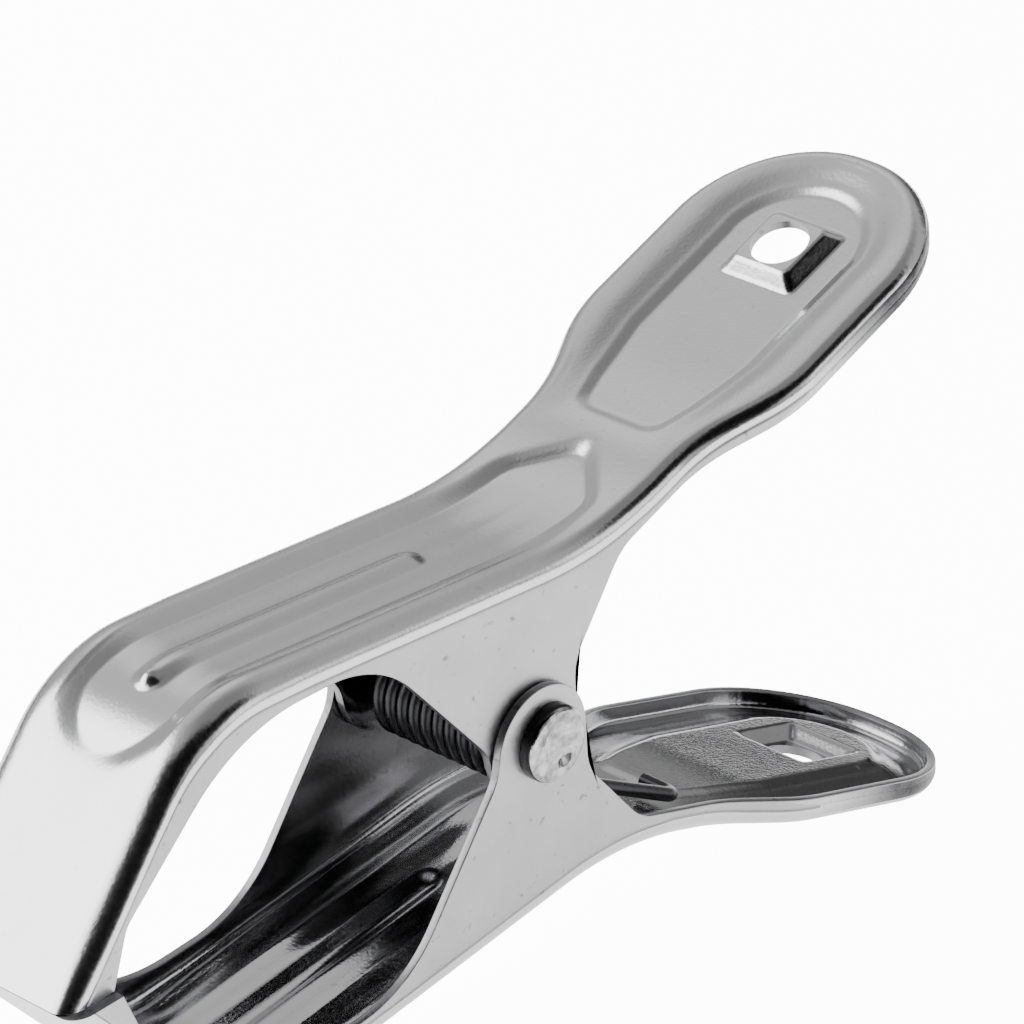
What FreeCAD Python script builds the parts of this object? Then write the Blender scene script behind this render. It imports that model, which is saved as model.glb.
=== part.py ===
"""Stamped stainless steel bag clip: two pressed jaws on one rivet, closed by a torsion spring.

Own frame, millimetres: the origin is on the rivet's axis, midway between the side walls.
+X runs from the rivet to the handles, +Y along the rivet's axis and +Z towards the upper jaw.
The clip is shut, with its lips meeting on the plane Z = 0.
"""
import FreeCAD, Part
import math
import os
from types import SimpleNamespace

import Sketcher

V = FreeCAD.Vector

# Driving dimensions, in mm and degrees: alias, value, meaning.
SIZES = [
    ("gauge", 0.9, "sheet thickness"),
    ("lower_width", 22.6, "outside width of the lower jaw's body"),
    ("ear_gap", 0.25, "side gap between an upper ear and the lower ear outside it"),
    ("handle_width", 28.6, "outside width of a handle"),
    ("bend_radius", 2.0, "outside radius of the bend between the face and the side walls"),
    ("wall_depth", 3.1, "depth of the side walls along the handle"),
    ("lip_gap", 0.05, "distance of each lip from the plane where they meet"),
    ("reach", 61.0, "distance from the rivet's axis to the lips"),
    ("tail", 62.0, "distance from the rivet's axis to the handles' ends"),
    ("end_radius", 13.8, "radius of the handle's corners, seen from above"),
    ("arch_x", -42.0, "corner of the jaw's arch"),
    ("arch_z", 22.6, "corner of the jaw's arch"),
    ("arch_radius", 16.0, "outside radius of the arch"),
    ("waist_x", 10.5, "corner between the body and the handle"),
    ("waist_z", 17.15, "corner between the body and the handle"),
    ("waist_radius", 40.0, "outside radius between the body and the handle"),
    ("end_z", 34.44, "height of the handle's face at its end"),
    ("neck_x", 24.0, "where the handle starts to widen"),
    ("shoulder_x", 33.0, "where the handle reaches its full width"),
    ("neck_radius", 16.0, "radius of the curves where the handle widens"),
    ("skirt_z", 12.0, "depth of the blank past the meeting plane, before its sides are trimmed"),
    ("lobe_radius", 5.9, "radius of an ear's round end"),
    ("lobe_x", -0.6, "centre of an ear's round end along X"),
    ("lip_x", -55.0, "inner end of the lip's side wall"),
    ("lip_crest_x", -53.3, "corner above the lip's side wall"),
    ("lip_crest_z", 5.9, "corner above the lip's side wall"),
    ("lip_crest_radius", 3.0, "radius of that corner"),
    ("window_x", -38.0, "upper front corner of the side window"),
    ("window_z", 18.4, "upper front corner of the side window"),
    ("window_radius", 20.0, "radius of that corner"),
    ("brow_x", -20.2, "upper rear corner of the side window"),
    ("brow_z", 17.7, "upper rear corner of the side window"),
    ("brow_radius", 14.0, "radius of that corner"),
    ("neck_z", 0.8, "where the window's edge meets the ear's round end"),
    ("flank_z", 5.5, "where the ear starts to widen into the handle"),
    ("flank_radius", 5.0, "radius on both sides of the ear's neck"),
    ("armpit_x", 12.4, "where the ear meets the handle's side wall"),
    ("armpit_radius", 6.0, "radius there"),
    ("rivet_radius", 1.8, "radius of the rivet's shank"),
    ("rivet_play", 0.05, "radial clearance of the rivet in the ears"),
    ("head_radius", 3.9, "radius of the rivet's heads"),
    ("head_height", 1.5, "height of the rivet's heads"),
    ("head_round", 0.7, "rounding of the heads' rims"),
    ("head_play", 0.03, "clearance under each head"),
    ("hole_radius", 3.0, "radius of the hanging hole"),
    ("hole_x", 47.6, "position of the hanging hole along X"),
    ("boss_side", 7.8, "side of the square boss around the hanging hole, at its foot"),
    ("boss_corner", 1.2, "radius of the boss's corners"),
    ("boss_height", 0.5, "height of the boss above the handle's face"),
    ("boss_slope", 36.0, "slope of the boss's sides from upright"),
    ("boss_root", 0.1, "how far the boss's solid starts inside the sheet"),
    ("wire", 1.5, "spring wire diameter"),
    ("coil_radius", 4.7, "mean radius of the spring's coil"),
    ("coil_pitch", 1.56, "pitch of the coil"),
    ("coil_turns", 9.0, "whole turns of the coil, before the part turn between its legs"),
    ("leg_x", 22.0, "position of the legs' toes along X"),
    ("leg_gap", 0.8, "gap between a toe and the handle's inner face"),
    ("toe_length", 4.5, "length of each leg's toe, along the rivet's axis"),
    ("toe_bend", 1.8, "radius of the bend between leg and toe"),
]
FAR = 200.0  # longer than any part, for cuts that pass right through
TINY = 1e-6


class Dim:
    """A dimension that carries both its value and its formula over the sheet's cells."""

    def __init__(self, value, formula=None):
        self.value = float(value)
        self.formula = formula or f"{value}"

    def __add__(self, other):
        other = as_dim(other)
        return Dim(self.value + other.value, f"({self.formula} + {other.formula})")

    def __sub__(self, other):
        other = as_dim(other)
        return Dim(self.value - other.value, f"({self.formula} - {other.formula})")

    def __mul__(self, other):
        other = as_dim(other)
        return Dim(self.value * other.value, f"({self.formula} * {other.formula})")

    def __truediv__(self, other):
        other = as_dim(other)
        return Dim(self.value / other.value, f"({self.formula} / {other.formula})")

    def __neg__(self):
        return self * -1

    __radd__ = __add__
    __rmul__ = __mul__


def as_dim(number):
    """A plain number as a Dim, and a Dim as it is."""
    return number if isinstance(number, Dim) else Dim(number)


def make_sheet(doc):
    """The document's sheet of driving dimensions, and the same dimensions as Dims by name."""
    sheet = doc.addObject("Spreadsheet::Sheet", "sizes")
    for row, (alias, value, meaning) in enumerate(SIZES, start=1):
        sheet.set(f"A{row}", meaning)
        sheet.set(f"B{row}", str(value))
        sheet.setAlias(f"B{row}", alias)
    doc.recompute()
    return SimpleNamespace(**{alias: Dim(sheet.get(alias), f"sizes.{alias}") for alias, _, _ in SIZES})


doc = FreeCAD.newDocument("bag_clip")
d = make_sheet(doc)
UPPER_WIDTH = d.lower_width - 2 * d.gauge - 2 * d.ear_gap
HANDLE_RISE = (d.end_z - d.waist_z) / (d.tail - d.waist_x)
HANDLE_SLOPE = math.atan(HANDLE_RISE.value)


def new_sketch(body, name, role, offset=None):
    """A sketch on one of the body's origin planes, moved by offset where one is given."""
    sketch = body.newObject("Sketcher::SketchObject", name)
    support = next(f for f in body.Origin.OriginFeatures if f.Role == role)
    sketch.AttachmentSupport = [(support, "")]
    sketch.MapMode = "FlatFace"
    if offset is not None:
        sketch.AttachmentOffset = offset
    return sketch


def bind(sketch, kind, args, dim):
    """Adds one dimension to a sketch and binds it to its formula."""
    index = sketch.addConstraint(Sketcher.Constraint(kind, *args, dim.value))
    sketch.setExpression(f"Constraints[{index}]", dim.formula)


class Corner:
    """One corner of an outline, with the arc that rounds it off."""

    def __init__(self, x, y, radius=None):
        self.x, self.y, self.radius = as_dim(x), as_dim(y), radius
        self.point = V(self.x.value, self.y.value, 0)

    def round_off(self, before, after):
        """Works out where the arc starts and ends between two neighbouring corners."""
        back = (before.point - self.point).normalize()
        ahead = (after.point - self.point).normalize()
        radius = self.radius.value if self.radius else 0.0
        half_turn = (math.pi - back.getAngle(ahead)) / 2
        cut = radius * math.tan(half_turn)
        self.start = self.point + back * cut
        self.end = self.point + ahead * cut
        # The sketcher runs every arc anticlockwise, so a right turn meets the arc's second end first.
        self.first = 1 if back.cross(ahead).z < 0 else 2
        if radius:
            middle = (back + ahead).normalize() * (radius / math.cos(half_turn) - radius)
            ends = (self.start, self.end) if self.first == 1 else (self.end, self.start)
            self.arc = Part.Arc(ends[0], self.point + middle, ends[1])


def outline(sketch, corners):
    """A closed outline of straight stretches between corners, each sharp or rounded by an arc."""
    count = len(corners)
    for i, corner in enumerate(corners):
        corner.round_off(corners[i - 1], corners[(i + 1) % count])
    lines = [sketch.addGeometry(Part.LineSegment(corner.end, corners[(i + 1) % count].start))
             for i, corner in enumerate(corners)]
    for i, corner in enumerate(corners):
        before, after = lines[i - 1], lines[i]
        target = (after, 1)
        if corner.radius is None:
            sketch.addConstraint(Sketcher.Constraint("Coincident", before, 2, after, 1))
        else:
            arc = sketch.addGeometry(corner.arc)
            sketch.addConstraint(Sketcher.Constraint("Tangent", before, 2, arc, corner.first))
            sketch.addConstraint(Sketcher.Constraint("Tangent", arc, 3 - corner.first, after, 1))
            bind(sketch, "Radius", (arc,), corner.radius)
            point = sketch.addGeometry(Part.Point(corner.point), True)
            sketch.addConstraint(Sketcher.Constraint("PointOnObject", point, 1, before))
            sketch.addConstraint(Sketcher.Constraint("PointOnObject", point, 1, after))
            target = (point, 1)
        bind(sketch, "DistanceX", (-1, 1, *target), corner.x)
        bind(sketch, "DistanceY", (-1, 1, *target), corner.y)
    return sketch


def circle(sketch, radius):
    """A circle about the sketch's origin with its radius bound."""
    ring = sketch.addGeometry(Part.Circle(V(0, 0, 0), V(0, 0, 1), radius.value))
    sketch.addConstraint(Sketcher.Constraint("Coincident", ring, 3, -1, 1))
    bind(sketch, "Radius", (ring,), radius)
    return sketch


def through(body, kind, name, sketch, length=FAR):
    """A Pad or Pocket of the sketch, through the body on both sides of the sketch."""
    feature = body.newObject(f"PartDesign::{kind}", name)
    feature.Profile = sketch
    feature.Length = length
    feature.Midplane = True
    doc.recompute()


def blank(body, side, width):
    """The solid blank of a jaw: its side view padded, then cut to its plan."""
    profile = outline(new_sketch(body, "side_view", "XZ_Plane"), [
        Corner(-d.reach, side * d.lip_gap),
        Corner(d.arch_x, side * d.arch_z, d.arch_radius),
        Corner(d.waist_x, side * d.waist_z, d.waist_radius),
        Corner(d.tail, side * d.end_z),
        Corner(d.tail, -side * d.skirt_z),
        Corner(-d.reach, -side * d.skirt_z),
    ])
    through(body, "Pad", "side_pad", profile)
    plan = outline(new_sketch(body, "plan_view", "XY_Plane"), [
        Corner(-d.reach, -0.5 * width),
        Corner(d.neck_x, -0.5 * width, d.neck_radius),
        Corner(d.shoulder_x, -0.5 * d.handle_width, d.neck_radius),
        Corner(d.tail, -0.5 * d.handle_width, d.end_radius),
        Corner(d.tail, 0.5 * d.handle_width, d.end_radius),
        Corner(d.shoulder_x, 0.5 * d.handle_width, d.neck_radius),
        Corner(d.neck_x, 0.5 * width, d.neck_radius),
        Corner(-d.reach, 0.5 * width),
    ])
    outline(plan, [Corner(x * d.reach, y * d.reach) for x, y in ((-2, -2), (2, -2), (2, 2), (-2, 2))])
    through(body, "Pocket", "plan_cut", plan)


def is_bend(edge, side):
    """Whether an edge of the blank runs between its face and its side walls."""
    middle = edge.valueAt((edge.FirstParameter + edge.LastParameter) / 2)
    box = edge.BoundBox
    across = box.XLength < TINY and box.YLength > 1.0
    upright = box.XLength < TINY and box.YLength < TINY
    return not across and not upright and side * middle.z > 0.5 and abs(middle.y) > 1.0


def bend(body, side):
    """Rounds the blank's long edges to the bend's outside radius."""
    tip = body.Tip
    names = [f"Edge{i}" for i, e in enumerate(tip.Shape.Edges, start=1) if is_bend(e, side)]
    rounding = body.newObject("PartDesign::Fillet", "bend")
    rounding.Base = (tip, names)
    rounding.setExpression("Radius", d.bend_radius.formula)
    doc.recompute()


def hollow(body, side):
    """Turns the blank into sheet, open on the side of the meeting plane."""
    tip = body.Tip
    skirt = -side * d.skirt_z.value
    names = [f"Face{i}" for i, f in enumerate(tip.Shape.Faces, start=1)
             if f.BoundBox.ZLength < TINY and abs(f.BoundBox.ZMax - skirt) < TINY]
    shell = body.newObject("PartDesign::Thickness", "sheet")
    shell.Base = (tip, names)
    shell.Reversed = True
    shell.setExpression("Value", d.gauge.formula)
    doc.recompute()


def trim(body, side):
    """Cuts the side walls to their depth, opens the side windows and leaves the ears."""
    wall = d.waist_z + (d.armpit_x - d.waist_x) * HANDLE_RISE - d.wall_depth
    far_wall = wall + (2 * d.reach - d.armpit_x) * HANDLE_RISE
    lobe_corner = 0.999 * d.lobe_radius
    cut = outline(new_sketch(body, "trim_view", "XZ_Plane"), [
        Corner(-2 * d.reach, side * d.lip_gap),
        Corner(d.lip_x, side * d.lip_gap),
        Corner(d.lip_crest_x, side * d.lip_crest_z, d.lip_crest_radius),
        Corner(d.window_x, side * d.window_z, d.window_radius),
        Corner(d.brow_x, side * d.brow_z, d.brow_radius),
        Corner(d.lobe_x - d.lobe_radius, side * d.neck_z, d.flank_radius),
        Corner(d.lobe_x - d.lobe_radius, -side * d.lobe_radius, lobe_corner),
        Corner(d.lobe_x + d.lobe_radius, -side * d.lobe_radius, lobe_corner),
        Corner(d.lobe_x + d.lobe_radius, side * d.flank_z, d.flank_radius),
        Corner(d.armpit_x, side * wall, d.armpit_radius),
        Corner(2 * d.reach, side * far_wall),
        Corner(2 * d.reach, -side * d.reach),
        Corner(-2 * d.reach, -side * d.reach),
    ])
    through(body, "Pocket", "trim", cut)


def on_face(side, depth):
    """A placement on a handle's face at the hanging hole, its Z outwards, depth below the face."""
    x = d.hole_x.value
    z = (d.waist_z + (d.hole_x - d.waist_x) * HANDLE_RISE).value
    out = V(-math.sin(HANDLE_SLOPE), 0, side * math.cos(HANDLE_SLOPE))
    along = V(math.cos(HANDLE_SLOPE), 0, side * math.sin(HANDLE_SLOPE))
    return FreeCAD.Placement(V(x, 0, side * z) - out * depth, FreeCAD.Rotation(along, out.cross(along), out))


def frustum(body, kind, name, side, depth, length, height):
    """A square frustum that narrows outwards, added to or taken from a handle's face."""
    half = 0.5 * length
    square = outline(new_sketch(body, name + "_view", "XY_Plane", on_face(side, depth)), [
        Corner(x * half, y * half, d.boss_corner) for x, y in ((-1, -1), (1, -1), (1, 1), (-1, 1))])
    feature = body.newObject(f"PartDesign::{kind}", name)
    feature.Profile = square
    feature.Reversed = kind == "Pocket"
    feature.setExpression("Length", height.formula)
    feature.setExpression("TaperAngle", (-d.boss_slope).formula)
    doc.recompute()


def hanging_hole(body, side):
    """The square boss pressed out of the handle's face, with the hanging hole through it."""
    inner_side = d.boss_side - d.gauge
    inner_depth = (d.gauge + d.boss_root).value
    frustum(body, "Pad", "boss", side, d.boss_root.value, d.boss_side, d.boss_height + d.boss_root)
    frustum(body, "Pocket", "boss_hollow", side, inner_depth, inner_side, d.boss_height + d.boss_root)
    hole = circle(new_sketch(body, "hanging_view", "XY_Plane", on_face(side, 0)), d.hole_radius)
    through(body, "Pocket", "hanging_hole", hole, (4 * (d.boss_height + d.gauge)).value)


def jaw(name, side, width):
    """One pressed jaw: side is 1 for the upper and -1 for the lower, width is its body's outside width."""
    body = doc.addObject("PartDesign::Body", name)
    blank(body, side, width)
    bend(body, side)
    hollow(body, side)
    trim(body, side)
    ear_bore = circle(new_sketch(body, "rivet_view", "XZ_Plane"), d.rivet_radius + d.rivet_play)
    through(body, "Pocket", "rivet_bore", ear_bore)
    hanging_hole(body, side)
    return body


def pivot_rivet():
    """The rivet: a shank through all four ears with a rounded head outside each lower ear."""
    body = doc.addObject("PartDesign::Body", "pivot_rivet")
    ear = 0.5 * d.lower_width + d.head_play
    end = ear + d.head_height
    profile = outline(new_sketch(body, "half_view", "XY_Plane"), [
        Corner(0, -end),
        Corner(d.head_radius, -end, d.head_round),
        Corner(d.head_radius, -ear),
        Corner(d.rivet_radius, -ear),
        Corner(d.rivet_radius, ear),
        Corner(d.head_radius, ear),
        Corner(d.head_radius, end, d.head_round),
        Corner(0, end),
    ])
    turning = body.newObject("PartDesign::Revolution", "turning")
    turning.Profile = profile
    turning.ReferenceAxis = (profile, ["V_Axis"])
    turning.Angle = 360
    doc.recompute()
    return body


def toe_height():
    """The height of a leg's toe above the meeting plane, just inside the handle."""
    face = (d.waist_z + (d.leg_x - d.waist_x) * HANDLE_RISE).value
    inset = (d.gauge + d.leg_gap + 0.5 * d.wire).value
    return face - inset / math.cos(HANDLE_SLOPE)


def leg(side, leaving, y):
    """The edges of one leg from the coil to the end of its toe, at the coil's end y."""
    radius, bend_radius = d.coil_radius.value, d.toe_bend.value
    start = V(radius * math.cos(leaving), y, radius * math.sin(leaving))
    knee = V(d.leg_x.value, y, side * toe_height())
    ahead = (knee - start).normalize()
    inward = V(0, -1 if y > 0 else 1, 0)
    bend_start = knee - ahead * bend_radius
    bend_end = knee + inward * bend_radius
    bend_middle = bend_start + inward * bend_radius + (ahead - inward) * (bend_radius * math.sqrt(0.5))
    return [Part.makeLine(start, bend_start),
            Part.Arc(bend_start, bend_middle, bend_end).toShape(),
            Part.makeLine(bend_end, knee + inward * d.toe_length.value)]


def torsion_spring():
    """The spring: a close coil around the rivet and two straight legs that press the handles apart."""
    radius = d.coil_radius.value
    height, reach = toe_height(), d.leg_x.value
    leaving = -math.atan2(height, reach) - math.acos(radius / math.hypot(height, reach))
    part_turn = (2 * leaving) % (2 * math.pi) / (2 * math.pi)
    length = d.coil_pitch.value * (d.coil_turns.value + part_turn)
    coil = Part.makeHelix(d.coil_pitch.value, length, radius)
    coil.rotate(V(0, 0, 0), V(0, 0, 1), math.degrees(-leaving))
    coil.rotate(V(0, 0, 0), V(1, 0, 0), 90)
    coil.translate(V(0, 0.5 * length, 0))
    upper_leg = leg(1, -leaving, 0.5 * length)
    lower_leg = leg(-1, leaving, -0.5 * length)
    path = Part.Wire(upper_leg[::-1] + coil.Edges + lower_leg)
    foot = upper_leg[-1].valueAt(upper_leg[-1].LastParameter)
    section = Part.Wire(Part.makeCircle(0.5 * d.wire.value, foot, V(0, 1, 0)))
    sweep = Part.BRepOffsetAPI.MakePipeShell(path)
    sweep.setFrenetMode(True)
    sweep.add(section)
    sweep.build()
    sweep.makeSolid()
    spring = doc.addObject("Part::Feature", "torsion_spring")
    spring.Shape = sweep.shape()
    return spring


def check(parts):
    """Stops where an object of the document has failed or a sub-part isn't one valid solid."""
    for item in doc.Objects:
        if "Invalid" in item.State or "Error" in item.State:
            raise RuntimeError(f"{item.Name} failed: {item.State}")
    for part in parts:
        shape = part.Shape
        if shape.isNull() or not shape.isValid() or len(shape.Solids) != 1:
            raise RuntimeError(f"{part.Name} isn't one valid solid")


parts = [
    jaw("upper_jaw", 1, UPPER_WIDTH),
    jaw("lower_jaw", -1, d.lower_width),
    pivot_rivet(),
    torsion_spring(),
]
for part in parts:
    part.Label = part.Name
    part.Placement = FreeCAD.Placement()
doc.recompute()
check(parts)
os.makedirs("parts", exist_ok=True)
for part in parts:
    part.Shape.exportStep(f"parts/{part.Label}.step")
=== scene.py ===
import math

import bmesh
import bpy
import numpy as np
from mathutils import Matrix, Vector


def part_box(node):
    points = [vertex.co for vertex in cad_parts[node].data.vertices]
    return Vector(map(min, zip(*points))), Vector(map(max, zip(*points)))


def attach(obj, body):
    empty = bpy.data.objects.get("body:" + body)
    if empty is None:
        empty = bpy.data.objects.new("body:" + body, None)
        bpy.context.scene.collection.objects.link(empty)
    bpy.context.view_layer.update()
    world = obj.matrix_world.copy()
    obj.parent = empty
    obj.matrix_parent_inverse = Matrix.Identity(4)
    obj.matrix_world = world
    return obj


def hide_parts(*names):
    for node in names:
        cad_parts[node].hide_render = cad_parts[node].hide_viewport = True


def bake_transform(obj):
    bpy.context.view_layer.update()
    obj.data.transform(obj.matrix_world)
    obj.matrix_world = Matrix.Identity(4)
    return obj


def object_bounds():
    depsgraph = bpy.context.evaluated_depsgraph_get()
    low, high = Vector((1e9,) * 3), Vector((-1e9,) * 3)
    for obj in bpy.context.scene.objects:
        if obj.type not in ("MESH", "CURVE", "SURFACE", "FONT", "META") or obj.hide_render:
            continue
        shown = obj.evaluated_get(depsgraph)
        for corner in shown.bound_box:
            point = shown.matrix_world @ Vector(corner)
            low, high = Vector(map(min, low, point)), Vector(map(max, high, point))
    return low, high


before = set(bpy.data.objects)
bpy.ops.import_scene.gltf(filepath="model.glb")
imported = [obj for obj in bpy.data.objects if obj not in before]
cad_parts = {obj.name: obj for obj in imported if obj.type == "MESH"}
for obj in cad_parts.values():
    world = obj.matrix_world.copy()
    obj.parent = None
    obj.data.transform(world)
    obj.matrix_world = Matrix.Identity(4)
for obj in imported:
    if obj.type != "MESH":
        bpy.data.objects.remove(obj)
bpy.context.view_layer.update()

MM = 0.001
UPPER_LOW, UPPER_HIGH = (np.array(corner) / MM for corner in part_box("upper_jaw"))

# Driving dimensions in millimetres, as in the CAD source.
REACH = -UPPER_LOW[0]
TAIL = UPPER_HIGH[0]
END_Z = 34.44
GAUGE = 0.9
LOWER_HALF = 11.3
EAR_GAP = 0.25
UPPER_HALF = LOWER_HALF - GAUGE - EAR_GAP
HANDLE_HALF = 14.3
WALL_DEPTH = 3.1
LIP_GAP = 0.05
END_RADIUS = 13.8
ARCH = (-42.0, 22.6)
WAIST = (10.5, 17.15)
HANDLE_RISE = (END_Z - WAIST[1]) / (TAIL - WAIST[0])
HANDLE_ANGLE = math.atan(HANDLE_RISE)
LOBE = 5.9
LOBE_X = -0.6
LIP_X = -55.0
ARMPIT_X = 12.4
NECK_X, SHOULDER_X, NECK_RADIUS = 24.0, 33.0, 16.0
HOLE = 3.0
HOLE_X = 47.6
HEAD = 3.9
HEAD_HEIGHT = 1.5
HEAD_ROUND = 0.7
HEAD_PLAY = 0.03
SHANK = 1.8
PLAY = 0.05
WIRE = 0.75
COIL = 4.7
PITCH = 1.56
TURNS = 9
LEG_X = 22.0
LEG_GAP = 0.8
TOE = 4.5
TOE_BEND = 1.8
EDGE = 0.12

# The bend between face and wall, as stops (x, size): its size across the face and down the wall.
BEND_WIDE = ((-REACH, 1.9), (-56, 3.2), (-46, 3.2), (-38, 2.8), (-28, 2.0), (10, 2.0), (30, 1.7))
BEND_DEEP = ((-REACH, 1.7), (-50, 1.7), (-42, 2.2), (-34, 2.2), (-28, 2.0), (10, 2.0), (30, 1.7))
CREASE = 0.08
LIP_FADE = 9.0

# Finishes of a jaw, by number (the darker wall, cut, inside and rim finishes are painted shade); how many
# rows of points its wall has; and the row where the rim's painted dark reflection begins, as stops (x, rows
# below the wall's first).
FACE, WALL, CUT_AND_CREASE_SHADE, INSIDE, RIM_PAINTED_REFLECTION = range(5)
WALL_ROWS = 14
RIM_REFLECTION_START = ((30, 15), (36, -7))

# Pressed details of the face: depths and sizes in millimetres, and stops (x, size) where they vary.
CHANNEL_DEPTH = 0.75
CHANNEL_HALF = 5.0
CHANNEL_FRONT = -41.3
CHANNEL_APEX = 17.4
CHANNEL_FLANK = ((-44, 3.0), (-34, 2.8), (-10, 3.2), (5, 3.2), (14, 1.9))
RIB_FRONT, RIB_REAR, RIB_HALF = -38.6, -6.0, 2.1
RIB_CREST = ((-41, 0.85), (-38, 0.75), (-32, 0.5), (-8, 0.55))
PIP, PIP_HEIGHT = (-39.2, -0.3), 0.2
PANEL_DEPTH = 0.45
BORDER_DISH = 0.75
PANEL_WAIST = 22.4
PANEL_END = 48.4
PANEL_HALF = ((PANEL_WAIST, 4.6), (27, 6.0), (34, 7.4), (60, 7.6))
WAVE = 0.045
BOSS_HEIGHT = 1.5
BOSS_HALF = 3.1
BOSS_SLOPE = 1.7


def turned(path):
    """A plan or profile path through corners (x, z, radius), its corners rounded, as dense points."""
    points = [np.array(path[0][:2])]
    for before, corner, after in zip(path, path[1:], path[2:]):
        centre, radius = np.array(corner[:2]), corner[2] if len(corner) > 2 else 0.0
        back = np.array(before[:2]) - centre
        ahead = np.array(after[:2]) - centre
        back, ahead = back / np.linalg.norm(back), ahead / np.linalg.norm(ahead)
        half = 0.5 * (math.pi - math.acos(np.clip(back @ ahead, -1, 1)))
        if radius == 0.0:
            points.append(centre)
            continue
        start = centre + back * radius * math.tan(half)
        end = centre + ahead * radius * math.tan(half)
        middle = centre + (back + ahead) / np.linalg.norm(back + ahead) * radius / math.cos(half)
        first = math.atan2(*(start - middle)[::-1])
        turn = (math.atan2(*(end - middle)[::-1]) - first + math.pi) % (2 * math.pi) - math.pi
        for share in np.linspace(0, 1, 24):
            angle = first + turn * share
            points.append(middle + radius * np.array([math.cos(angle), math.sin(angle)]))
    points.append(np.array(path[-1][:2]))
    return np.array(points)


def lengths(path):
    """Distance along a path at each of its points."""
    return np.concatenate([[0], np.cumsum(np.linalg.norm(np.diff(path, axis=0), axis=1))])


def along(path, distance):
    """Points of a path at distances along it."""
    at = lengths(path)
    return np.stack([np.interp(distance, at, path[:, i]) for i in range(path.shape[1])], axis=-1)


def nearest(path, point):
    """Distance along a path of its vertex nearest to a point."""
    return lengths(path)[np.argmin(np.linalg.norm(path - np.array(point), axis=1))]


PROFILE = turned([(-REACH, LIP_GAP), (*ARCH, 16.0), (*WAIST, 40.0), (TAIL + 4, END_Z + 4 * HANDLE_RISE)])
PROFILE_ANGLE = np.arctan2(np.gradient(PROFILE[:, 1]), np.gradient(PROFILE[:, 0]))
LIP_ANGLE = math.atan2(ARCH[1] - LIP_GAP, ARCH[0] + REACH)
WALL_Z = WAIST[1] + (ARMPIT_X - WAIST[0]) * HANDLE_RISE - WALL_DEPTH


def step(value, width, foot=0.25, brow=0.35):
    """Rises from 0 to 1 as value goes from 0 to width: a ramp with a rounded foot and brow."""
    t = np.clip(value / width, 0, 1)
    top = 1 - 0.5 * (foot + brow)
    low = 0.5 * t * t / foot
    middle = t - 0.5 * foot
    high = top - 0.5 * (1 - t) ** 2 / brow
    return np.where(t < foot, low, np.where(t > 1 - brow, high, middle)) / top


def varied(x, stops):
    """A size that runs straight from stop to stop (x, size)."""
    return np.interp(x, *zip(*stops))


def joined(a, b, blend):
    """The larger of two distances, with the corner between them rounded."""
    h = np.clip(0.5 + 0.5 * (a - b) / blend, 0, 1)
    return b + (a - b) * h + blend * h * (1 - h)


def relief(x, y):
    """Height of the pressed details above the plain face, at plan position x, y."""
    across = np.abs(y)
    nose = np.sqrt(y * y + 1.6) - 1.26
    side = np.where(x > CHANNEL_FRONT, across, np.hypot(x - CHANNEL_FRONT, y)) - CHANNEL_HALF
    arrow = (x + 1.15 * nose - CHANNEL_APEX) / 1.52
    channel = joined(side, arrow, 1.0)
    depth = varied(x, ((-46, 0.95), (-34, 1.0))) * CHANNEL_DEPTH
    height = -depth * (1 - step(channel, varied(x, CHANNEL_FLANK), 0.12, 0.6))
    rib = np.hypot(x - np.clip(x, RIB_FRONT, RIB_REAR), y)
    height = height + varied(x, RIB_CREST) * (1 - step(rib, RIB_HALF, 0.6, 0.4))
    height = height + PIP_HEIGHT * (1 - step(np.hypot(x - PIP[0], y - PIP[1]), 1.5, 0.5, 0.4))
    sides = np.where(x < PANEL_END, across - varied(x, PANEL_HALF), np.hypot(x - PANEL_END, y) - 7.6)
    panel = joined(joined(PANEL_WAIST + 0.5 - x, sides, 2.0), sides, 0.3)
    height = height - PANEL_DEPTH * (1 - step(panel + 0.7, 1.6, 0.35, 0.45))
    height = height - BORDER_DISH * (1 - step(panel - 0.1, 4.6, 0.3, 0.5)) * step(x - 17, 16.0)
    ahead = (x - HOLE_X) / math.cos(HANDLE_ANGLE)
    boss = joined(np.abs(ahead), across, 0.9) - BOSS_HALF
    drawn = WAVE * np.cos(1.55 * y + 0.05 * x + 0.6) * step(x + 44, 10.0) * (1 - step(x - 2, 16.0))
    return height + BOSS_HEIGHT * (1 - step(boss, BOSS_SLOPE, 0.3, 0.25)) + drawn


def face(x):
    """Height of the plain face and its outward normal at x, for the upper jaw."""
    z = np.interp(x, PROFILE[:, 0], PROFILE[:, 1])
    angle = np.interp(x, PROFILE[:, 0], PROFILE_ANGLE)
    return z, np.stack([-np.sin(angle), 0 * angle, np.cos(angle)], axis=-1)


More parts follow.
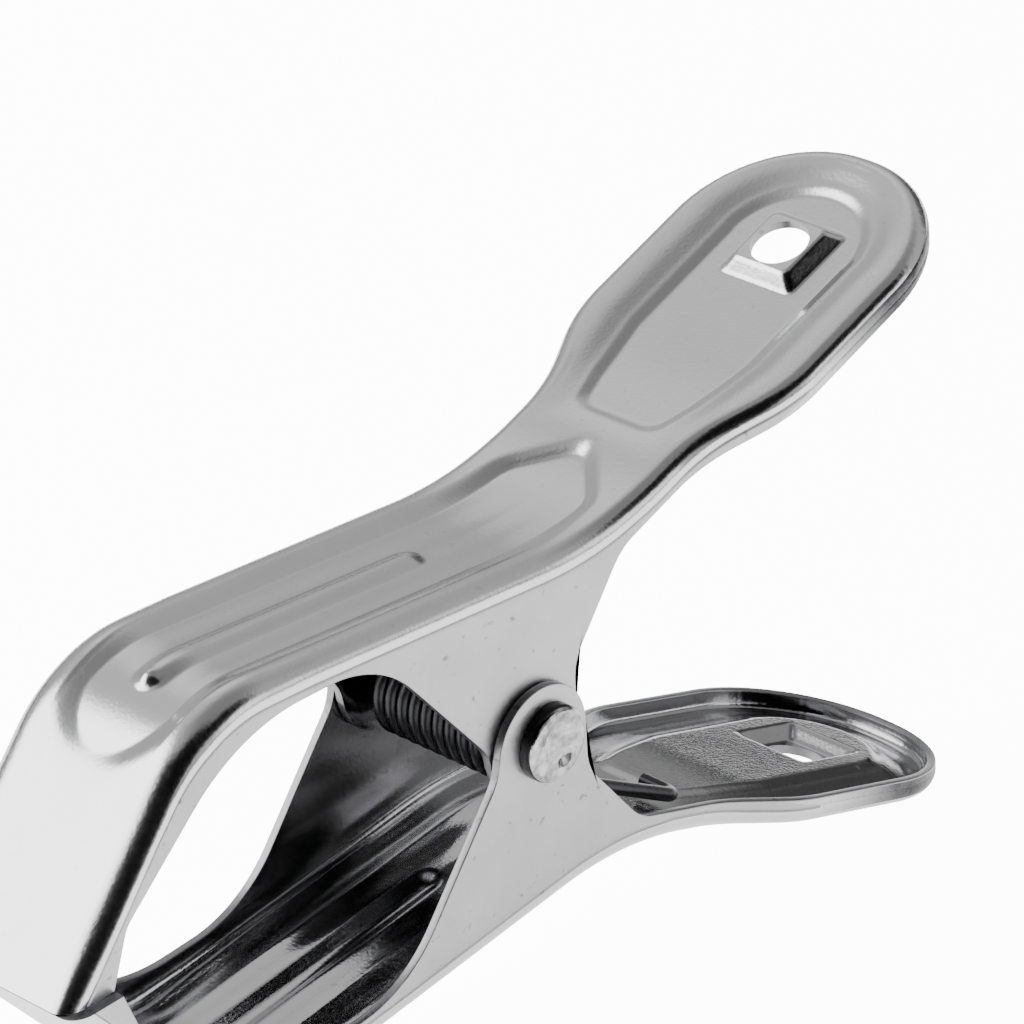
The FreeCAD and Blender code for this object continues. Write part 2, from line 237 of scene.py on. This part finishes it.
def jaw_columns(half):
    """Plan positions of the columns' inner and outer ends, and the outward plan normal at each outer end."""
    edge = turned([(-REACH, half), (NECK_X, half, NECK_RADIUS), (SHOULDER_X, HANDLE_HALF, NECK_RADIUS),
                   (TAIL, HANDLE_HALF, END_RADIUS), (TAIL, 0.0)])
    straight = np.concatenate([np.linspace(-REACH, -20, 135), np.linspace(-20, 10, 85)[1:],
                               np.linspace(10, 40, 92)[1:], np.linspace(40, 44.6, 36)[1:]])
    lean = straight - np.clip(straight - NECK_X, 0, None) * 0.25
    inner = np.stack([straight, 0 * straight], axis=-1)
    slope_cos = math.cos(HANDLE_ANGLE)
    inner[-1, 0] = HOLE_X - HOLE * slope_cos
    outer_at = np.interp(lean, edge[:, 0][edge[:, 0] < 46], lengths(edge)[edge[:, 0] < 46])
    turn = np.linspace(math.pi, 0, 97)[1:]
    ring = np.stack([HOLE_X + HOLE * slope_cos * np.cos(turn), HOLE * np.sin(turn)], axis=-1)
    end = lengths(edge)[-1]
    share = np.linspace(0, 1, 97)[1:]
    rest = outer_at[-1] + (end - outer_at[-1]) * share
    inner = np.concatenate([inner, ring])
    at = np.concatenate([outer_at, rest])
    outer = along(edge, at)
    ahead = along(edge, np.minimum(at + 0.05, end)) - along(edge, np.maximum(at - 0.05, 0))
    ahead /= np.linalg.norm(ahead, axis=1)[:, None]
    outward = np.stack([-ahead[:, 1], ahead[:, 0]], axis=-1)
    outward[-1] = (1.0, 0.0)
    return inner, outer, outward, len(straight) - 1


def trim_points(top):
    """Where each column of the side wall ends: points (x, z) of the trimmed edge, for the tops' x."""
    front_x, rear_x = LOBE_X - LOBE, LOBE_X + LOBE
    path = turned([(LIP_X, LIP_GAP), (-52.9, 5.6, 3.0), (-38.0, 18.4, 20.0), (-20.2, 17.7, 14.0),
                   (front_x, 0.8, 5.0), (front_x, -LOBE, 0.999 * LOBE), (rear_x, -LOBE, 0.999 * LOBE),
                   (rear_x, 5.5, 5.0), (ARMPIT_X, WALL_Z, 6.0),
                   (TAIL + 6, WALL_Z + (TAIL + 6 - ARMPIT_X) * HANDLE_RISE)])
    at = lengths(path)
    front, rear = nearest(path, (-37.6, 17.0)), nearest(path, (-24.0, 17.5))
    tops = [top[0], -37.6, -24.0, -7.6, 7.4, 13.6, 17.0]
    ends = [0.0, front, rear, nearest(path, (front_x, 0.0)), nearest(path, (rear_x, 1.0)),
            nearest(path, (ARMPIT_X - 1.4, WALL_Z - 2)), float(np.interp(17.0, path[-2:, 0], at[-2:]))]
    x = np.minimum(top, 17.0)
    mapped = along(path, np.interp(x, tops, ends))
    beyond = np.stack([top, WALL_Z + (top - ARMPIT_X) * HANDLE_RISE], axis=-1)
    return np.where(top[:, None] > 17.0, beyond, mapped)


def lip_slide(x, z):
    """How far a point moves for each millimetre below the face, so that the lip's cut edge stays level."""
    near = np.clip(1 - np.hypot(x + REACH, z - LIP_GAP) / LIP_FADE, 0, 1)
    near = near * near * (3 - 2 * near) * 0.35 + near * 0.65
    way = np.array([math.cos(LIP_ANGLE), 0.0, math.sin(LIP_ANGLE)])
    return near[:, None] * way * (math.cos(LIP_ANGLE) / math.sin(LIP_ANGLE))


def sheet_rows(inner, outer, outward):
    """Rows of points over half a sheet, and the finish of each row.

    They run from the middle over face, bend, wall and cut edge, and back along the inside to the middle.
    """
    edge_z, normal = face(outer[:, 0])
    flat = np.concatenate([outward, np.zeros((len(outer), 1))], axis=1)
    corner = np.concatenate([outer, edge_z[:, None]], axis=1)
    lean = np.sum(normal * flat, axis=1)[:, None]
    side_way = (flat - lean * normal) / np.sqrt(1 - lean ** 2)
    wide, deep = varied(outer[:, :1], BEND_WIDE), varied(outer[:, :1], BEND_DEEP)
    centre = corner - (deep * normal + wide * flat) / (1 + lean)
    tangent_plan = (centre + deep * normal)[:, :2]
    slide = lip_slide(outer[:, 0], edge_z)

    def face_row(share, depth):
        if share == 1:
            return centre + (deep - depth) * normal + depth * slide
        plan = inner + share * (tangent_plan - inner)
        z, up = face(plan[:, 0])
        away = np.linalg.norm(tangent_plan - plan, axis=1)
        lift = relief(plan[:, 0], plan[:, 1]) * step(away, 0.6)
        return np.concatenate([plan, z[:, None]], axis=1) + up * (lift - depth)[:, None] + depth * slide

    def arc_row(share, depth):
        angle = share * np.arccos(np.clip(lean, -1, 1))
        down, out = (deep - depth) * np.cos(angle), (wide - depth) * np.sin(angle)
        return centre + down * normal + out * side_way + (deep - down) * slide

    def layer(depth, middle_rows, side_rows):
        shares = np.concatenate([np.linspace(0, 0.52, middle_rows), np.linspace(0.52, 1, side_rows)[1:]])
        turns = np.linspace(0, 1, 11)[1:]
        return [face_row(share, depth) for share in shares] + [arc_row(share, depth) for share in turns]

    shown, hidden = layer(0.0, 38, 25), layer(GAUGE, 27, 18)
    top, inner_top, into = shown[-1], hidden[-1], -flat
    ends = trim_points(top[:, 0])
    bottom = np.stack([ends[:, 0], top[:, 1], ends[:, 1]], axis=-1)
    down = bottom - top
    down = down / np.linalg.norm(down, axis=1)[:, None]
    foot = bottom + into * GAUGE - down * EDGE
    sink = np.linspace(0, 1, WALL_ROWS + 2)[1:-1]
    rounding = ((0, 1), (0.3, 0.3), (1, 0))

    rows = [(FACE, row) for row in shown]
    # The crease row takes the dark cut finish: painted shade along the crease.
    rows += [(FACE, top + 0.12 * down), (CUT_AND_CREASE_SHADE, top + 0.34 * down + CREASE * into), (WALL, top + 0.52 * down)]
    rows += [(WALL, top + 0.6 * down + share * (bottom - (0.6 + EDGE) * down - top)) for share in sink]
    rows += [(WALL if back == 1 else CUT_AND_CREASE_SHADE, bottom + EDGE * (into * depth - down * back))
             for depth, back in rounding]
    rows += [(CUT_AND_CREASE_SHADE, bottom + into * (GAUGE - EDGE * depth) - down * EDGE * back)
             for depth, back in rounding[::-1]]
    rows += [(INSIDE, inner_top + share * (foot - inner_top)) for share in sink[::-1]]
    rows += [(INSIDE, row) for row in hidden[::-1]]
    return np.array([row for _, row in rows]), [finish for finish, _ in rows]


def lip_faces(grid, index):
    """Triangles that close the sheet along the lip, between its outside rows and its inside rows."""
    faces = []
    out, back = 0, len(grid) - 1
    while back - out > 1:
        if abs(grid[out + 1, 0, 1] - grid[back, 0, 1]) < abs(grid[out, 0, 1] - grid[back - 1, 0, 1]):
            faces.append((index[out, 0], index[out + 1, 0], index[back, 0]))
            out += 1
        else:
            faces.append((index[out, 0], index[back - 1, 0], index[back, 0]))
            back -= 1
    return faces


def jaw_mesh(name, side, half):
    """One pressed jaw as a closed sheet: half of it, mirrored and welded along the middle."""
    inner, outer, outward, hole_start = jaw_columns(half)
    grid, finishes = sheet_rows(inner, outer, outward)
    grid[:, -1, 1] = 0.0
    grid[0, :hole_start, 1] = 0.0
    size, count = grid.shape[:2]
    index = np.arange(size * count).reshape(size, count)

    first_wall = finishes.index(WALL)
    last_wall = first_wall + WALL_ROWS
    rim_reflection_from = first_wall + varied(outer[:, 0], RIM_REFLECTION_START)
    faces, materials = [], []
    for i in range(size - 1):
        for j in range(count - 1):
            faces.append((index[i, j], index[i, j + 1], index[i + 1, j + 1], index[i + 1, j]))
            # Rows between the rim's start and the wall's last row get the rim finish, a painted dark
            # reflection.
            materials.append(RIM_PAINTED_REFLECTION if rim_reflection_from[j] < i < last_wall else finishes[i + 1])
    edges = lip_faces(grid, index)
    edges += [(index[0, j + 1], index[0, j], index[-1, j], index[-1, j + 1])
              for j in range(hole_start, count - 1)]
    faces += edges
    materials += [CUT_AND_CREASE_SHADE] * len(edges)

    points = grid.reshape(-1, 3)
    points = np.concatenate([points, points * (1, -1, 1)]) * (1, 1, side)
    faces += [tuple(corner + size * count for corner in corners) for corners in faces]
    return solid(name, points, faces, materials + materials)


def solid(name, points, faces, materials=None):
    """A closed mesh object from points in millimetres."""
    data = bpy.data.meshes.new(name)
    data.from_pydata((np.asarray(points) * MM).tolist(), [], [tuple(map(int, corners)) for corners in faces])
    if materials is not None:
        data.polygons.foreach_set("material_index", np.asarray(materials, dtype=np.int32))
    piece = bpy.data.objects.new(name, data)
    bpy.context.scene.collection.objects.link(piece)
    work = bmesh.new()
    work.from_mesh(data)
    bmesh.ops.remove_doubles(work, verts=work.verts, dist=2e-6)
    bmesh.ops.recalc_face_normals(work, faces=work.faces)
    work.to_mesh(data)
    work.free()
    data.shade_smooth()
    data.set_sharp_from_angle(angle=math.radians(38))
    return piece


def bore(jaw, half):
    """Cuts the rivet's bore through both ears."""
    bpy.ops.mesh.primitive_cylinder_add(vertices=64, radius=(SHANK + PLAY) * MM,
                                        depth=3 * half * MM, rotation=(math.pi / 2, 0, 0))
    drill = bpy.context.object
    cut = jaw.modifiers.new("bore", "BOOLEAN")
    cut.object = drill
    cut.solver = "EXACT"
    depsgraph = bpy.context.evaluated_depsgraph_get()
    data = bpy.data.meshes.new_from_object(jaw.evaluated_get(depsgraph))
    jaw.modifiers.clear()
    jaw.data = data
    bpy.data.objects.remove(drill)


def lathe(profile, turns, dent):
    """Points and faces of a profile (radius, y) turned about the Y axis, dented along it."""
    points, faces = [], []
    for radius, y in profile:
        for k in range(turns):
            angle = 2 * math.pi * k / turns
            points.append((radius * math.cos(angle), y + dent(radius, angle, y), radius * math.sin(angle)))
    rows = len(profile)
    for i in range(rows - 1):
        for k in range(turns):
            n = (k + 1) % turns
            faces.append((i * turns + k, i * turns + n, (i + 1) * turns + n, (i + 1) * turns + k))
    return points, faces


def rivet_mesh():
    """The rivet: shank and two heads, each with a rounded rim and an uneven, dimpled face."""
    ear = LOWER_HALF + HEAD_PLAY
    end = ear + HEAD_HEIGHT
    half = [(radius, end) for radius in np.linspace(0.0, 3.0, 13)]
    half += [(HEAD - HEAD_ROUND * (1 - math.sin(a)), end - HEAD_ROUND * (1 - math.cos(a)))
             for a in np.linspace(0, math.pi / 2, 9)]
    half += [(HEAD, end - 0.95), (HEAD, ear + 0.1), (HEAD - 0.1, ear), (3.2, ear), (2.4, ear),
             (SHANK + 0.02, ear), (SHANK, ear - 0.1), (SHANK, 6.0), (SHANK, 3.0), (SHANK, 0.0)]
    profile = half + [(radius, -y) for radius, y in half[-2::-1]]

    def dent(radius, angle, y):
        if abs(y) < end - 0.5:
            return 0.0
        out = 1 if y > 0 else -1
        bowl = -0.64 * (1 - min(1.0, radius / 2.9) ** 2) ** 1.5 - 0.03
        rim = 0.03 * math.exp(-((radius - 3.0) / 0.35) ** 2)
        flaw = 0.2 * math.sin(angle * 2 + 0.6) * math.exp(-((radius - 1.7) / 0.8) ** 2)
        flaw += 0.13 * math.sin(angle * 3 + 2.0 + out) * math.exp(-((radius - 2.3) / 0.6) ** 2)
        flaw += 0.03 * math.sin(angle * 7) * math.exp(-((radius - 2.8) / 0.4) ** 2)
        return out * (bowl + rim + flaw) if radius < 3.3 else 0.0

    turns = 96
    points, faces = lathe(profile, turns, dent)
    radii = [radius for radius, _ in profile]
    # The heads' round sides get the second finish: near black, a painted dark reflection.
    painted_dark_side = [int(min(pair) > HEAD - 0.2) for pair in zip(radii, radii[1:]) for _ in range(turns)]
    return solid("rivet", points, faces, painted_dark_side)


def tube(name, path, radius, around=20):
    """A round wire along a path, its ends closed with a slightly rounded cut."""
    path = np.asarray(path, dtype=float)
    ways = np.gradient(path, axis=0)
    ways /= np.linalg.norm(ways, axis=1)[:, None]
    frame_x = np.zeros_like(path)
    first = np.cross(ways[0], (0.0, 0.0, 1.0) if abs(ways[0][2]) < 0.9 else (1.0, 0.0, 0.0))
    frame_x[0] = first / np.linalg.norm(first)
    for i in range(1, len(path)):
        carried = frame_x[i - 1] - ways[i] * (frame_x[i - 1] @ ways[i])
        frame_x[i] = carried / np.linalg.norm(carried)
    frame_y = np.cross(ways, frame_x)
    rings = []
    turn = np.linspace(0, 2 * math.pi, around, endpoint=False)
    sections = [(0, 0.0, 0.0), (0, 0.80, 0.0), (0, 0.95, 0.05)]
    sections += [(i, 1.0, 0.0) for i in range(len(path))]
    sections += [(len(path) - 1, 0.95, 0.05), (len(path) - 1, 0.80, 0.0), (len(path) - 1, 0.0, 0.0)]
    half = len(sections) // 2
    for n, (i, scale, inset) in enumerate(sections):
        lift = 0.0
        if scale < 1:
            lift = (0.12 - inset * 1.6) * (-1 if n < half else 1) * radius
        centre = path[i] + ways[i] * lift
        arms = np.cos(turn)[:, None] * frame_x[i] + np.sin(turn)[:, None] * frame_y[i]
        rings.append(centre + radius * scale * arms)
    points = np.concatenate(rings)
    faces = []
    for i in range(len(rings) - 1):
        for k in range(around):
            n = (k + 1) % around
            faces.append((i * around + k, i * around + n, (i + 1) * around + n, (i + 1) * around + k))
    return solid(name, points, faces)


def spring_meshes():
    """The spring as three lengths of wire that meet end to end: the coil and its two legs."""
    face_z = WAIST[1] + (LEG_X - WAIST[0]) * HANDLE_RISE
    toe_z = face_z - (GAUGE + LEG_GAP + WIRE) / math.cos(HANDLE_ANGLE)
    leaving = -math.atan2(toe_z, LEG_X) - math.acos(COIL / math.hypot(toe_z, LEG_X))
    part_turn = (2 * leaving) % (2 * math.pi) / (2 * math.pi)
    length = PITCH * (TURNS + part_turn)
    shares = np.linspace(0, 1, 620)
    angle = -leaving - shares * 2 * math.pi * (TURNS + part_turn)
    coil = np.stack([COIL * np.cos(angle), 0.5 * length - shares * length, COIL * np.sin(angle)], axis=-1)

    def leg(side, start_angle, y):
        start = np.array([COIL * math.cos(start_angle), y, COIL * math.sin(start_angle)])
        knee = np.array([LEG_X, y, side * toe_z])
        ahead = (knee - start) / np.linalg.norm(knee - start)
        inward = np.array([0.0, -1.0 if y > 0 else 1.0, 0.0])
        straight = [start + (knee - ahead * TOE_BEND - start) * s for s in np.linspace(0, 1, 40)]
        middle = knee - ahead * TOE_BEND + inward * TOE_BEND
        bend = [middle - inward * TOE_BEND * math.cos(a) + ahead * TOE_BEND * math.sin(a)
                for a in np.linspace(0, math.pi / 2, 14)[1:]]
        toe = [bend[-1] + inward * (TOE - TOE_BEND) * s for s in np.linspace(0, 1, 8)[1:]]
        return np.array(straight + bend + toe)

    return (tube("spring_coil", coil, WIRE),
            tube("spring_lower_leg", leg(-1, leaving, -0.5 * length), WIRE),
            tube("spring_upper_leg", leg(1, -leaving, 0.5 * length), WIRE))


def node(tree, kind, **inputs):
    """Adds a shader node, its inputs set to values or linked to sockets; an underscore stands for a space."""
    made = tree.nodes.new(kind)
    for key, value in inputs.items():
        slot = made.inputs[key.replace("_", " ")]
        if isinstance(value, bpy.types.NodeSocket):
            tree.links.new(value, slot)
        else:
            slot.default_value = value
    return made


def ramp(tree, value, stops):
    """A colour that follows a value through stops (position, shade)."""
    made = tree.nodes.new("ShaderNodeValToRGB")
    tree.links.new(value, made.inputs["Fac"])
    elements = made.color_ramp.elements
    while len(elements) < len(stops):
        elements.new(0.5)
    for element, (position, shade) in zip(elements, stops):
        element.position = position
        element.color = (shade, shade, shade, 1) if isinstance(shade, float) else (*shade, 1)
    return made.outputs["Color"]


def steel(name, tint, rough, grain, mottle, bump, speck=0.0, patch=95.0, fade=None):
    """A bare metal with fine grain, soft mottling and specks, all from noise in the object's own space."""
    made = bpy.data.materials.new(name)
    made.use_nodes = True
    tree = made.node_tree
    shader = tree.nodes["Principled BSDF"]
    place = tree.nodes.new("ShaderNodeTexCoord").outputs["Object"]
    fine = node(tree, "ShaderNodeTexNoise", Vector=place, Scale=2600.0, Detail=4.0).outputs["Fac"]
    cloud = node(tree, "ShaderNodeTexNoise", Vector=place, Scale=patch, Detail=5.0, Roughness=0.6)
    wave = node(tree, "ShaderNodeTexNoise", Vector=place, Scale=38.0, Detail=2.0).outputs["Fac"]
    tone = ramp(tree, cloud.outputs["Fac"], [(0.3, tuple(c * (1 - mottle) for c in tint)), (0.7, tint)])
    dots = node(tree, "ShaderNodeTexNoise", Vector=place, Scale=900.0, Detail=2.0).outputs["Fac"]
    dark = ramp(tree, dots, [(0.66, 1.0), (0.74, 1.0 - speck)])
    mixed = tree.nodes.new("ShaderNodeMix")
    mixed.data_type = "RGBA"
    mixed.blend_type = "MULTIPLY"
    mixed.inputs[0].default_value = 1.0
    tree.links.new(tone, mixed.inputs[6])
    tree.links.new(dark, mixed.inputs[7])
    # A fade turns the colour paler grey along x between two stops; the rim's painted dark reflection uses it
    # to fade out.
    if fade:
        x = node(tree, "ShaderNodeSeparateXYZ", Vector=place).outputs["X"]
        share = node(tree, "ShaderNodeMapRange", Value=x, From_Min=fade[0] * MM, From_Max=fade[1] * MM)
        paler = tree.nodes.new("ShaderNodeMix")
        paler.data_type = "RGBA"
        tree.links.new(share.outputs["Result"], paler.inputs[0])
        paler.inputs[6].default_value = (0.66, 0.66, 0.67, 1)
        tree.links.new(mixed.outputs[2], paler.inputs[7])
        mixed = paler
    tree.links.new(mixed.outputs[2], shader.inputs["Base Color"])
    shader.inputs["Metallic"].default_value = 1.0
    roughness = node(tree, "ShaderNodeMapRange", Value=fine, To_Min=rough - grain, To_Max=rough + grain)
    tree.links.new(roughness.outputs["Result"], shader.inputs["Roughness"])
    total = tree.nodes.new("ShaderNodeMath")
    total.operation = "MULTIPLY_ADD"
    tree.links.new(fine, total.inputs[0])
    total.inputs[1].default_value = 0.15
    tree.links.new(wave, total.inputs[2])
    bumped = node(tree, "ShaderNodeBump", Strength=bump, Distance=0.0004, Height=total.outputs[0])
    tree.links.new(bumped.outputs["Normal"], shader.inputs["Normal"])
    return made


upper = jaw_mesh("upper_sheet", 1, UPPER_HALF)
lower = jaw_mesh("lower_sheet", -1, LOWER_HALF)
jaw_finishes = (
    steel("steel_face", (0.80, 0.80, 0.81), 0.20, 0.05, 0.06, 0.25, 0.08),
    # The walls: a darker copy of the face's steel, painted shade on the sides; their rougher satin finish is
    # the metal's own.
    steel("steel_wall", (0.56, 0.56, 0.57), 0.38, 0.08, 0.16, 0.25, 0.45),
    # Cut edges and the crease: dark grey, a painted dark reflection on the edges and painted shade in the
    # crease.
    steel("steel_cut_painted_shade", (0.34, 0.34, 0.35), 0.34, 0.06, 0.2, 0.3, 0.3),
    # The inside: the same steel, darker than the face, painted shade inside the sheet.
    steel("steel_inside", (0.46, 0.46, 0.47), 0.12, 0.05, 0.1, 0.3, 0.2),
    # The rim: a near-black, strongly mottled band on the lower handle walls, paler from x 37 to 47 mm, is a
    # painted dark reflection.
    steel("steel_rim_painted_reflection", (0.13, 0.13, 0.135), 0.26, 0.08, 0.8, 0.6, 0.3, 300.0, (37, 47)),
)
for piece, body, half, cad_node in (
        (upper, "upper", UPPER_HALF, "upper_jaw"), (lower, "lower", LOWER_HALF, "lower_jaw")):
    for finish in jaw_finishes:
        piece.data.materials.append(finish)
    bore(piece, half)
    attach(piece, body)
    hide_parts(cad_node)

rivet = rivet_mesh()
rivet.data.materials.append(steel("rivet_steel", (0.74, 0.74, 0.75), 0.15, 0.05, 0.75, 0.35, 0.2, 800.0))
# The heads' round sides: near black, a painted dark reflection.
rivet.data.materials.append(steel("rivet_side_painted_reflection", (0.05, 0.05, 0.052), 0.32, 0.05, 0.2, 0.35, 0.2))
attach(rivet, "lower")
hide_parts("pivot_rivet")

wire_finish = steel("black_wire", (0.045, 0.045, 0.048), 0.30, 0.08, 0.3, 0.3, 0.3)
coil, lower_leg, upper_leg = spring_meshes()
for piece in (coil, lower_leg, upper_leg):
    piece.data.materials.append(wire_finish)
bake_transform(coil)
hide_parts("torsion_spring")
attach(lower_leg, "lower")
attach(upper_leg, "upper")


# The studio: a pale floor, soft lights and a surround of bright and dark cards for the steel to reflect.
floor_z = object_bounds()[0][2]
bpy.ops.mesh.primitive_plane_add(size=6.0, location=(0, 0, floor_z - 0.0005))
floor = bpy.context.object
floor.name = "floor"
floor_finish = bpy.data.materials.new("floor_paint")
floor_finish.use_nodes = True
tree = floor_finish.node_tree
paint = tree.nodes["Principled BSDF"]
grain = node(tree, "ShaderNodeTexNoise", Scale=60.0, Detail=6.0).outputs["Fac"]
tree.links.new(ramp(tree, grain, [(0.3, 0.86), (0.7, 0.9)]), paint.inputs["Base Color"])
paint.inputs["Roughness"].default_value = 0.7
paint.inputs["Emission Color"].default_value = (1, 1, 1, 1)
shown = tree.nodes.new("ShaderNodeLightPath").outputs["Is Camera Ray"]
glow = node(tree, "ShaderNodeMapRange", Value=shown, To_Min=0.85, To_Max=12.0)
tree.links.new(glow.outputs["Result"], paint.inputs["Emission Strength"])
floor.data.materials.append(floor_finish)


def softbox(name, place, width, height, power):
    """A soft light aimed at the clip, left out of reflections."""
    light = bpy.data.lights.new(name, "AREA")
    light.shape = "RECTANGLE"
    light.size, light.size_y, light.energy = width, height, power
    lamp = bpy.data.objects.new(name, light)
    bpy.context.scene.collection.objects.link(lamp)
    lamp.location = place
    lamp.rotation_euler = (-Vector(place)).to_track_quat("-Z", "Y").to_euler()
    lamp.visible_glossy = False


softbox("back_box", (-0.5, 0.55, 0.55), 0.5, 0.5, 7.0)
softbox("top_box", (0.3, 0.3, 0.9), 0.5, 0.5, 7.0)
softbox("side_box", (0.3, -0.95, 0.25), 0.7, 0.35, 5.0)


# Each card: direction, half angle of its even middle, half angle where it ends, and the brightness it adds
# (dark when negative). The last one is a dark skirting all round the horizon.
SURROUND = 0.50
CARDS = (
    ((-0.59, 0.61, 0.53), 18, 32, 4.0),
    ((-0.80, 0.60, 0.12), 10, 24, 0.70),
    ((0.20, 0.61, 0.77), 8, 26, 0.20),
    ((0.48, 0.62, 0.62), 4, 18, 0.35),
    ((-0.55, -0.60, 0.55), 30, 46, -0.53),
    ((-0.78, 0.00, 0.62), 15, 27, -0.55),
    ((0.20, -0.15, 0.97), 12, 38, -0.26),
    ((0.25, -0.70, 0.67), 12, 22, -0.50),
    ((0.50, -0.83, 0.25), 8, 16, 1.2),
    ((0.95, 0.20, 0.25), 8, 24, -0.4),
    ((0.00, 0.00, -1.0), 92.5, 98, -0.6),
)


def studio():
    """A surround of bright windows and dark cards for the steel to reflect, white to the camera itself."""
    world = bpy.context.scene.world or bpy.data.worlds.new("studio")
    bpy.context.scene.world = world
    world.use_nodes = True
    tree = world.node_tree
    way = tree.nodes.new("ShaderNodeTexCoord").outputs["Generated"]
    total = None
    for direction, near, far, strength in CARDS:
        toward = Vector(direction).normalized()
        dot = node(tree, "ShaderNodeVectorMath")
        dot.operation = "DOT_PRODUCT"
        tree.links.new(way, dot.inputs[0])
        dot.inputs[1].default_value = toward
        fall = tree.nodes.new("ShaderNodeMapRange")
        fall.interpolation_type = "SMOOTHSTEP"
        tree.links.new(dot.outputs["Value"], fall.inputs["Value"])
        fall.inputs["From Min"].default_value = math.cos(math.radians(far))
        fall.inputs["From Max"].default_value = math.cos(math.radians(near))
        fall.inputs["To Max"].default_value = strength
        if total is None:
            base = tree.nodes.new("ShaderNodeValue")
            base.outputs[0].default_value = SURROUND
            total = base.outputs[0]
        added = tree.nodes.new("ShaderNodeMath")
        added.operation = "ADD"
        tree.links.new(total, added.inputs[0])
        tree.links.new(fall.outputs["Result"], added.inputs[1])
        total = added.outputs[0]
    floorless = tree.nodes.new("ShaderNodeMath")
    floorless.operation = "MAXIMUM"
    tree.links.new(total, floorless.inputs[0])
    floorless.inputs[1].default_value = 0.0
    seen = tree.nodes.new("ShaderNodeLightPath").outputs["Is Camera Ray"]
    blend = tree.nodes.new("ShaderNodeMix")
    tree.links.new(seen, blend.inputs["Factor"])
    tree.links.new(floorless.outputs[0], blend.inputs[2])
    blend.inputs[3].default_value = 1.0
    tree.links.new(blend.outputs[0], tree.nodes["Background"].inputs["Color"])


studio()

# The camera: a long lens, above and in front of the near side.
AZIMUTH, ELEVATION, ROLL = math.radians(-45.583), math.radians(29.235), math.radians(-2.955)
ACROSS, UP, DISTANCE = -4.924, -17.993, 559.382
ahead = Vector((-math.sin(AZIMUTH) * math.cos(ELEVATION), math.cos(AZIMUTH) * math.cos(ELEVATION),
                -math.sin(ELEVATION)))
right = ahead.cross(Vector((0, 0, 1))).normalized()
over = right.cross(ahead)
right, over = (math.cos(ROLL) * right + math.sin(ROLL) * over,
               math.cos(ROLL) * over - math.sin(ROLL) * right)
lens = bpy.data.cameras.new("camera")
lens.lens = 207.0
lens.sensor_width = 36.0
lens.clip_start = 0.01
camera = bpy.data.objects.new("camera", lens)
bpy.context.scene.collection.objects.link(camera)
place = -(ACROSS * right + UP * over + DISTANCE * ahead) * MM
camera.matrix_world = Matrix.Translation(place) @ Matrix((right, over, -ahead)).transposed().to_4x4()
bpy.context.scene.camera = camera
